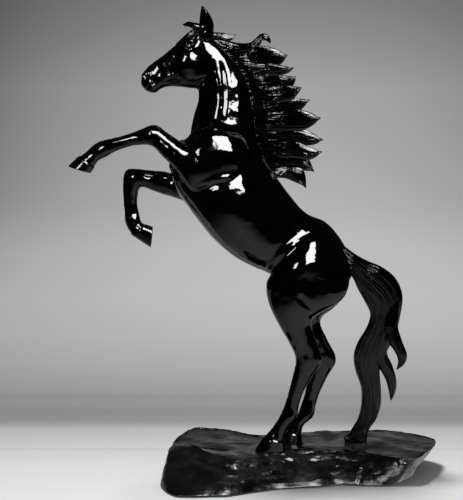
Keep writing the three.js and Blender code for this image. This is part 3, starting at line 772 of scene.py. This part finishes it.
print("body")
horseBody = makeBody()
print("eyes, ears and hooves")
extras = [*makeEyes(), makeEar(nearSide), makeEar(farSide)]
extras += [makeHoof(leg) for leg in ("nearFore", "farFore", "nearHind", "farHind")]
horseBody = joined("horse_body", [horseBody, *extras])
print("mane")
horseMane = makeMane()
print("tail")
horseTail = makeTail()

# Rock: rows [footX, footY, rimX, rimY, rise] round the base, in shares of half its length, half its depth
# and its height. The mound is at the front left. Seats are flat spots (x, y, radius) for the hind hooves
# and the tail's foot.
rock = {
    "length": 0.355, "depth": 0.226, "height": 0.034, "relief": 0.003, "footInset": 0.0025, "moundFall": 5,
    "rows": [
        [0.74, -0.46, 0.86, -0.5, 0], [0.66, -0.62, 0.78, -0.58, 0], [0.47, -0.63, 0.59, -0.41, 0],
        [0.29, -0.59, 0.37, -0.24, 0], [0.11, -0.68, 0.11, -0.21, 0], [-0.12, -0.77, -0.11, -0.33, 0],
        [-0.3, -0.88, -0.33, -0.56, 0], [-0.5, -1.04, -0.46, -0.66, 0.06], [-0.65, -1.08, -0.61, -0.54, 0.2],
        [-0.78, -1.1, -0.7, -0.44, 0.32], [-0.88, -1.08, -0.78, -0.35, 0.41],
        [-0.95, -0.92, -0.87, -0.38, 0.29],
        [-0.98, -0.71, -0.93, -0.39, 0.12], [-0.98, -0.4, -0.93, -0.23, 0.03], [-0.96, 0, -0.915, 0.09, 0],
        [-0.9, 0.4, -0.88, 0.44, 0], [-0.74, 0.82, -0.74, 0.85, 0.06], [-0.46, 0.69, -0.47, 0.71, 0.03],
        [-0.31, 0.53, -0.32, 0.56, 0], [0.2, 0.64, 0.21, 0.71, 0], [0.62, 0.64, 0.66, 0.8, 0],
        [0.78, 0.53, 0.86, 0.65, 0], [0.86, 0.31, 1.01, 0.42, 0], [0.84, -0.1, 1.025, 0.15, 0],
    ],
    "heart": [0, 0.18],
    # height and way from foot to rim
    "ledges": [[0, 0], [0.05, 0.01], [0.2, 0.1], [0.4, 0.28], [0.52, 0.42], [0.6, 0.5], [0.72, 0.76],
               [0.86, 0.86], [1, 1]],
    "sides": 280, "wallRings": 30, "topRings": 34,
    "seats": [(-0.0351, -0.0226, 0.0228), (-0.0093, 0.0226, 0.0203), (0.0781, 0.0277, 0.0177)],
}


def offSeats(points):
    gaps = []
    for x, y, reach in rock["seats"]:
        away = np.hypot(points[:, 0] - x, points[:, 1] - y)
        gaps.append(np.clip((away - reach) / reach, 0, 1))
    return np.min(gaps, axis=0)


# Three waves that cross, from about -1 to 1 at places in millimetres.
def crossedWaves(x, y, z):
    wide = 0.5 * np.sin(x / 17 + 1.3 * np.sin(y / 23))
    middle = 0.35 * np.sin(y / 11 + z / 7 + 1.7 * np.sin(x / 29))
    return wide + middle + 0.25 * np.sin((x + y) / 8.5 + z / 5)


# The rock's roughness in metres: sizes of lumps, their heights on top, on the sides and at the foot, and
# where one passes into the next.
rockSkin = {
    "brokenSize": 0.016, "chipSize": 0.0075, "mottleSize": 0.013, "chipStretch": (0.6, 1, 1),
    "waveHeight": 0.0022, "mottleHeight": 0.0007, "brokenHeight": 0.0010, "chipHeight": 0.0009,
    "lift": 0.0003, "footBroken": 0.0006, "footTop": 0.0105, "blend": 0.003, "seatBlend": 0.004,
    "topFrom": 0.75, "topOver": 0.2,
}


def makeRock():
    halves = np.array([rock["length"] / 2, rock["depth"] / 2])
    edge = np.array(rock["rows"]) * np.array([*halves, *halves, rock["height"]])
    edge = curveThrough(edge, rock["sides"], closed=True)
    foot, rim = edge[:, 0:2], edge[:, 2:4]
    high = rock["height"] + edge[:, 4]
    outward = foot / np.linalg.norm(foot, axis=1)[:, None]
    overhang = np.linalg.norm(rim, axis=1) > np.linalg.norm(foot, axis=1)
    ledges = np.array(rock["ledges"])
    run = lengthAlong(ledges)
    stops = np.linspace(0, run[-1], rock["wallRings"])
    rings = []
    for level, way in zip(np.interp(stops, run, ledges[:, 0]), np.interp(stops, run, ledges[:, 1])):
        way = np.where(overhang, level, way)[:, None]
        flat = foot + (rim - foot) * way
        rough = crossedWaves(foot[:, 0] * 1000, foot[:, 1] * 1000, level * (rock["height"] * 1000)) - 0.5
        rough = rock["relief"] * rough * (0 < level < 1)
        flat = flat + outward * (rough - rock["footInset"] * (level == 0))[:, None]
        rings.append(np.column_stack([flat, level * high]))
    heart = np.array(rock["heart"]) * halves
    for level in np.linspace(1, smallestEnd, rock["topRings"])[1:]:
        flat = heart + (rim - heart) * level
        rise = rock["height"] + (high - rock["height"]) * level ** rock["moundFall"]
        rings.append(np.column_stack([flat, rise]))
    base = addSkin("rock", rings)
    modified(base, "SUBSURF", subdivision_type="SIMPLE", levels=1, render_levels=1)
    modified(base, "SMOOTH", factor=0.5, iterations=2)
    points, normals = read(base, "co"), read(base, "normal")
    level = points[:, 2]
    free = offSeats(points) * np.clip(level / rockSkin["seatBlend"], 0, 1)
    top = np.clip((normals[:, 2] - rockSkin["topFrom"]) / rockSkin["topOver"], 0, 1)
    wave = np.minimum(crossedWaves(points[:, 0] * 1000, points[:, 1] * 1000, 0) - 0.2, 1)
    broken = lumps(points, rockSkin["brokenSize"], 2, 4)
    chips = np.abs(lumps(points * np.array(rockSkin["chipStretch"]), rockSkin["chipSize"], 2, 5))
    mottle = lumps(points, rockSkin["mottleSize"], 2, 6)
    above = np.clip((level - rockSkin["footTop"]) / rockSkin["blend"], 0, 1)
    foot = (1 - above) * np.clip(level / rockSkin["blend"], 0, 1)
    height = top * free * (wave * rockSkin["waveHeight"] + mottle * rockSkin["mottleHeight"])
    side = broken * rockSkin["brokenHeight"] - chips * rockSkin["chipHeight"] + rockSkin["lift"]
    height += (1 - top) * above * side
    height += (1 - top) * foot * broken * rockSkin["footBroken"]
    points = points + normals * height[:, None]
    points[:, 2] = np.maximum(points[:, 2], 0)
    movePoints(base, points)
    return base


print("rock")
rockBase = makeRock()


# A colour written as hex sRGB, made linear.
def linear(code):
    channels = [int(code[i:i + 2], 16) / 255 for i in (1, 3, 5)]
    return tuple(c / 12.92 if c <= 0.04045 else ((c + 0.055) / 1.055) ** 2.4 for c in channels) + (1.0,)


def setInputs(tree, node, inputs=None, links=None):
    for name, value in (inputs or {}).items():
        node.inputs[name].default_value = value
    for name, socket in (links or {}).items():
        tree.links.new(socket, node.inputs[name])


def addNode(tree, kind, inputs=None, links=None, **settings):
    node = tree.nodes.new(kind)
    for name, value in settings.items():
        setattr(node, name, value)
    setInputs(tree, node, inputs, links)
    return node


def addNoise(tree, place, size, detail, roughness=0.5):
    inputs = {"Scale": 1 / size, "Detail": detail, "Roughness": roughness}
    return addNode(tree, "ShaderNodeTexNoise", inputs, {"Vector": place}).outputs["Fac"]


def addBump(tree, distance, **links):
    return addNode(tree, "ShaderNodeBump", {"Distance": distance, "Strength": 1.0}, links).outputs["Normal"]


def addRange(tree, value, fromRange, toRange=(0.0, 1.0)):
    inputs = dict(zip(("From Min", "From Max", "To Min", "To Max"), (*fromRange, *toRange)))
    return addNode(tree, "ShaderNodeMapRange", inputs, {"Value": value}).outputs["Result"]


def addMix(tree, inputs, links, **settings):
    return addNode(tree, "ShaderNodeMix", inputs, links, data_type="RGBA", **settings).outputs["Result"]


def addMath(tree, operation, inputs, links):
    return addNode(tree, "ShaderNodeMath", inputs, links, operation=operation).outputs["Value"]


def startMaterial(name):
    material = bpy.data.materials.new(name)
    material.use_nodes = True
    tree = material.node_tree
    place = addNode(tree, "ShaderNodeTexCoord").outputs["Object"]
    return material, tree, tree.nodes["Principled BSDF"], place


def setRamp(node, stops):
    ramp = node.color_ramp
    while len(ramp.elements) > 1:
        ramp.elements.remove(ramp.elements[-1])
    ramp.elements[0].position, ramp.elements[0].color = stops[0]
    for position, colour in stops[1:]:
        ramp.elements.new(position).color = colour


# Black gloss lacquer over cast metal: a deep black with a wet gloss, faint orange peel and soft haze.
gloss = {"colour": "#010101", "haze": "#020202", "hazeSize": 0.03, "hazeRange": (0.3, 0.7), "ior": 1.5,
         "roughness": (0.025, 0.07), "peel": 0.0032, "peelHeight": 0.000035}


def glossLacquer():
    material, tree, shader, place = startMaterial("black_gloss_lacquer")
    haze = addNoise(tree, place, gloss["hazeSize"], 3.0)
    colour = addMix(tree, {"A": linear(gloss["colour"]), "B": linear(gloss["haze"])}, {"Factor": haze})
    rough = addRange(tree, haze, gloss["hazeRange"], gloss["roughness"])
    peel = addBump(tree, gloss["peelHeight"], Height=addNoise(tree, place, gloss["peel"], 1.0))
    setInputs(tree, shader, {"IOR": gloss["ior"]}, {"Base Color": colour, "Roughness": rough, "Normal": peel})
    return material


# The same lacquer over engraved hair: fine uneven lines, with width and length, follow the strands.
hairGloss = {"colour": "#010101", "ior": 1.5, "roughness": 0.06, "lines": ((0.0016, 0.03), (0.0008, 0.016)),
             "apart": 40.0, "patch": 0.0045}


def hairLacquer(name, lineHeight, patchHeight, sheen):
    material, tree, shader, place = startMaterial(name)
    hair = addNode(tree, "ShaderNodeAttribute", attribute_name="hair").outputs["Vector"]
    lines = []
    for width, length in hairGloss["lines"]:
        scale = {"Scale": (1 / width, 1 / length, hairGloss["apart"])}
        stretched = addNode(tree, "ShaderNodeMapping", scale, {"Vector": hair}).outputs["Vector"]
        lines.append(addNoise(tree, stretched, 1.0, 1.0))
    rough = addBump(tree, patchHeight, Height=addNoise(tree, place, hairGloss["patch"], 2.0))
    coarse = addBump(tree, lineHeight, Height=lines[0], Normal=rough)
    fine = addBump(tree, lineHeight / 3, Height=lines[1], Normal=coarse)
    look = {"Base Color": linear(hairGloss["colour"]), "Roughness": hairGloss["roughness"],
            "Specular IOR Level": sheen, "IOR": hairGloss["ior"]}
    setInputs(tree, shader, look, {"Normal": fine})
    return material


# The same lacquer brushed over rough rock: a duller black with tool marks and pits, greyer in patches.
roughGloss = {"colour": "#030303", "wear": "#141413", "patch": 0.022, "patchRange": (0.35, 0.65), "ior": 1.5,
              "roughness": (0.1, 0.36), "sheen": 0.4, "mark": 0.0022, "markStretch": (0.4, 1.0, 1.4),
              "markHeight": 0.0003}


def rockLacquer():
    material, tree, shader, place = startMaterial("black_lacquer_on_rock")
    patches = addNoise(tree, place, roughGloss["patch"], 5.0)
    colour = addMix(tree, {"A": linear(roughGloss["colour"]), "B": linear(roughGloss["wear"])},
                    {"Factor": patches})
    rough = addRange(tree, patches, roughGloss["patchRange"], roughGloss["roughness"])
    stretched = addNode(tree, "ShaderNodeMapping", {"Scale": roughGloss["markStretch"]}, {"Vector": place})
    marks = addNoise(tree, stretched.outputs["Vector"], roughGloss["mark"], 4.0, 0.6)
    bump = addBump(tree, roughGloss["markHeight"], Height=marks)
    setInputs(tree, shader, {"IOR": roughGloss["ior"], "Specular IOR Level": roughGloss["sheen"]},
              {"Base Color": colour, "Roughness": rough, "Normal": bump})
    return material


horseFinish, rockFinish = glossLacquer(), rockLacquer()
maneFinish = hairLacquer("black_gloss_lacquer_on_mane", 0.00035, 0.0003, 0.5)
tailFinish = hairLacquer("black_gloss_lacquer_on_tail", 0.0009, 0.0001, 0.32)
for piece, finish, slot, node in (
        (horseBody, horseFinish, "horse_lacquer", "horse"), (horseMane, maneFinish, "horse_lacquer", "horse"),
        (horseTail, tailFinish, "horse_lacquer", "horse"),
        (rockBase, rockFinish, "rock_lacquer", "rock_base")):
    piece.data.materials.clear()
    piece.data.materials.append(finish)
    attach(piece, "root")
    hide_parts(node)
rockBase.name = rockBase.data.name = "rock_relief"

# Studio: a grey paper sweep with painted shade on its floor and a painted glow behind, and two soft boxes
# high on the camera's side that only the gloss shows. Sizes are in metres.
studio = {
    "front": 0.12, "back": 3.2, "side": 1.4, "sweep": 0.9, "wall": 3.5, "round": 9.0, "bendSteps": 48,
    "paperLevel": -0.0002, "surroundLevel": -0.0004,
    # way along the paper, back over the floor and up the wall, with the paper's grey there: painted shade
    # darkens it towards the back and into a dark band where the floor bends up, past which it is black and
    # only the glow shows
    "floorGreysWithPaintedShade": [(-0.2, "#bebebe"), (0.034, "#b0b0b0"), (0.142, "#a0a0a0"), (0.23, "#939393"),
                   (0.29, "#6e6e6e"), (0.36, "#484848"), (0.45, "#000000")],
    # and the painted glow of the lit background, dark at the bend as part of the painted shade band
    "glowGreys": [(0.27, "#000000"), (0.33, "#585858"), (0.4, "#8b8b8b"), (0.5, "#a0a0a0"), (0.72, "#b0b0b0"),
                  (1.0, "#bababa"), (1.45, "#c0c0c0"), (2.2, "#bebebe"), (3.3, "#b4b4b4"), (4.3, "#a4a4a4"),
                  (4.6, "#8e8e8e"), (4.85, "#7a7a7a"), (8.0, "#666666")],
    # the pool of light: its middle, its fall to the sides and the least that is left
    "poolMiddle": 0.08, "poolFall": 0.48, "floorLeast": 0.7, "glowLeast": 0.48,
    # the front of the paper as the gloss shows it: a glowing card seen only in reflections, a painted
    # reflection of the lit floor that fades towards the camera and to the left
    "cardReflectionGreys": [(-1.5, "#000000"), (-1.25, "#383838"), (-0.95, "#787878"), (-0.7, "#b0b0b0"),
                  (-0.4, "#cccccc"), (0.12, "#d8d8d8")],
    "cardReflectionFade": [(-0.75, "#000000"), (-0.5, "#404040"), (-0.15, "#e0e0e0"), (0.0, "#ffffff")],
    "cardSide": 0.75,
    # name, azimuth right of the camera, elevation, distance, width, height, brightness
    "boxes": [("softBoxRight", 24, 36, 2.3, 1.05, 1.5, 24), ("softBoxLeft", -22, 24, 2.3, 0.5, 0.8, 20)],
    # a light from the left that the gloss doesn't show: place, size and power
    "floorLight": (-1.1, 0.6, 3.9, 1.0, 238),
    "aim": (-0.04, 0.0, 0.33),
    "room": 0.010, "background": "#a8a8a8",
}


def addSheet(name, side, front, back, level):
    bpy.ops.object.select_all(action="DESELECT")
    bpy.ops.mesh.primitive_plane_add(size=1, location=(0, (front + back) / 2, level))
    sheet = bpy.context.object
    sheet.name = sheet.data.name = name
    sheet.scale = (2 * side, back - front, 1)
    bpy.ops.object.transform_apply(location=True, scale=True)
    return sheet


def makeSweep():
    sweep = addSheet("paper_sweep", studio["side"], studio["front"], studio["back"], studio["paperLevel"])
    bpy.ops.object.mode_set(mode="EDIT")
    bpy.ops.mesh.select_mode(type="EDGE")
    bpy.ops.mesh.select_all(action="DESELECT")
    sheet = bmesh.from_edit_mesh(sweep.data)
    for edge in sheet.edges:
        edge.select_set(all(abs(vert.co.y - studio["back"]) < 0.01 for vert in edge.verts))
    bmesh.update_edit_mesh(sweep.data)
    bpy.ops.mesh.spin(steps=studio["bendSteps"], angle=-math.pi / 2, axis=(1, 0, 0),
                      center=(0, studio["back"], studio["sweep"]))
    bpy.ops.mesh.extrude_region_move(TRANSFORM_OT_translate={"value": (0, 0, studio["wall"])})
    finishEdit()
    return sweep


# A place along some way turned to a grey.
def greysAlong(tree, way, stops):
    first, last = stops[0][0], stops[-1][0]
    level = addRange(tree, way, (first, last))
    ramp = addNode(tree, "ShaderNodeValToRGB", links={"Fac": level})
    setRamp(ramp, [((place - first) / (last - first), linear(grey)) for place, grey in stops])
    return ramp.outputs["Color"]


def placeParts(tree, place):
    parts = addNode(tree, "ShaderNodeSeparateXYZ", links={"Vector": place})
    return [parts.outputs[axis] for axis in "XYZ"]


def paper():
    material, tree, shader, place = startMaterial("grey_paper")
    x, y, z = placeParts(tree, place)
    way = addMath(tree, "ADD", {}, {0: y, 1: z})
    apart = addMath(tree, "SUBTRACT", {1: studio["poolMiddle"]}, {0: x})
    square = addMath(tree, "MULTIPLY", {}, {0: apart, 1: apart})
    fall = addMath(tree, "MULTIPLY_ADD", {1: -studio["poolFall"], 2: 1.0}, {0: square})
    glow = addMath(tree, "MAXIMUM", {1: studio["glowLeast"]}, {0: fall})
    pool = addMath(tree, "MAXIMUM", {1: studio["floorLeast"]}, {0: fall})
    # the floor's greys with their painted shade, times the painted pool of light
    floor = addMix(tree, {"Factor": 1.0}, {"A": greysAlong(tree, way, studio["floorGreysWithPaintedShade"]), "B": pool},
                   blend_type="MULTIPLY")
    setInputs(tree, shader, {"Roughness": 0.9, "Specular IOR Level": 0.0},
              # past the bend the paper glows with painted light of the background, lit by no lamp
              {"Base Color": floor, "Emission Color": greysAlong(tree, way, studio["glowGreys"]),
               "Emission Strength": glow})
    return material


def card():
    material, tree, shader, place = startMaterial("painted_reflection_card")
    x, y, _ = placeParts(tree, place)
    # painted reflection: darker towards the camera and to the left
    greys, fade = greysAlong(tree, y, studio["cardReflectionGreys"]), greysAlong(tree, x, studio["cardReflectionFade"])
    both = addMix(tree, {"Factor": 1.0}, {"A": greys, "B": fade}, blend_type="MULTIPLY")
    look = {"Base Color": linear("#000000"), "Emission Strength": 1.0, "Specular IOR Level": 0.0}
    setInputs(tree, shader, look, {"Emission Color": both})
    return material


# An area light that shines back along a direction.
def addLight(name, place, direction, shape, sizes, energy):
    bpy.ops.object.light_add(type="AREA", location=place)
    light = bpy.context.object
    light.name = name
    light.data.shape = shape
    light.data.size, light.data.size_y = sizes
    light.data.energy = energy
    light.rotation_euler = direction.to_track_quat("Z", "Y").to_euler()
    light.visible_camera = False
    return light


def addSoftBox(name, azimuth, elevation, distance, width, height, brightness):
    turn, lift = math.radians(azimuth), math.radians(elevation)
    toLight = Vector((math.sin(turn) * math.cos(lift), -math.cos(turn) * math.cos(lift), math.sin(lift)))
    place, energy = Vector(studio["aim"]) + toLight * distance, brightness * math.pi * width * height
    box = addLight(name, place, toLight, "RECTANGLE", (width, height), energy)
    box.visible_diffuse = False


print("studio")
sweep = makeSweep()
# paper all round for every view, which the gloss doesn't show
surround = addSheet("paper_surround", studio["round"], -studio["round"], studio["back"],
                    studio["surroundLevel"])
frontCard = addSheet("front_card", studio["cardSide"], studio["cardReflectionGreys"][0][0], studio["front"],
                     studio["paperLevel"])
paperFinish = paper()
for sheet, finish in ((sweep, paperFinish), (surround, paperFinish), (frontCard, card())):
    sheet.data.materials.append(finish)
surround.visible_glossy = False
# the card glows only in the gloss, as a painted reflection
frontCard.visible_camera = frontCard.visible_diffuse = frontCard.visible_shadow = False
for box in studio["boxes"]:
    addSoftBox(*box)
*place, size, power = studio["floorLight"]
floorLight = addLight("floorLight", place, Vector(place), "DISK", (size, size), power)
floorLight.visible_glossy = False
# the room is dark in every reflection, and the background past the paper is pale
world = bpy.data.worlds.new("room")
world.use_nodes = True
room = world.node_tree
mirrored = addNode(room, "ShaderNodeLightPath").outputs["Is Glossy Ray"]
shade = addMix(room, {"A": linear(studio["background"]), "B": (studio["room"],) * 3 + (1.0,)},
               {"Factor": mirrored})
setInputs(room, room.nodes["Background"], links={"Color": shade})
bpy.context.scene.world = world
bpy.context.scene.view_settings.view_transform = "Standard"

view = {"lens": 119.2, "place": (-0.085, -2.1, 0.563), "tilt": 82.62}
camera = bpy.data.cameras.new("camera")
camera.lens = view["lens"]
cameraObject = bpy.data.objects.new("camera", camera)
cameraObject.location = view["place"]
cameraObject.rotation_euler = (math.radians(view["tilt"]), 0, 0)
bpy.context.scene.collection.objects.link(cameraObject)
bpy.context.scene.camera = cameraObject

for piece in (horseBody, horseMane, horseTail, rockBase):
    piece.data.calc_loop_triangles()
    print(piece.name, len(piece.data.loop_triangles), "triangles")
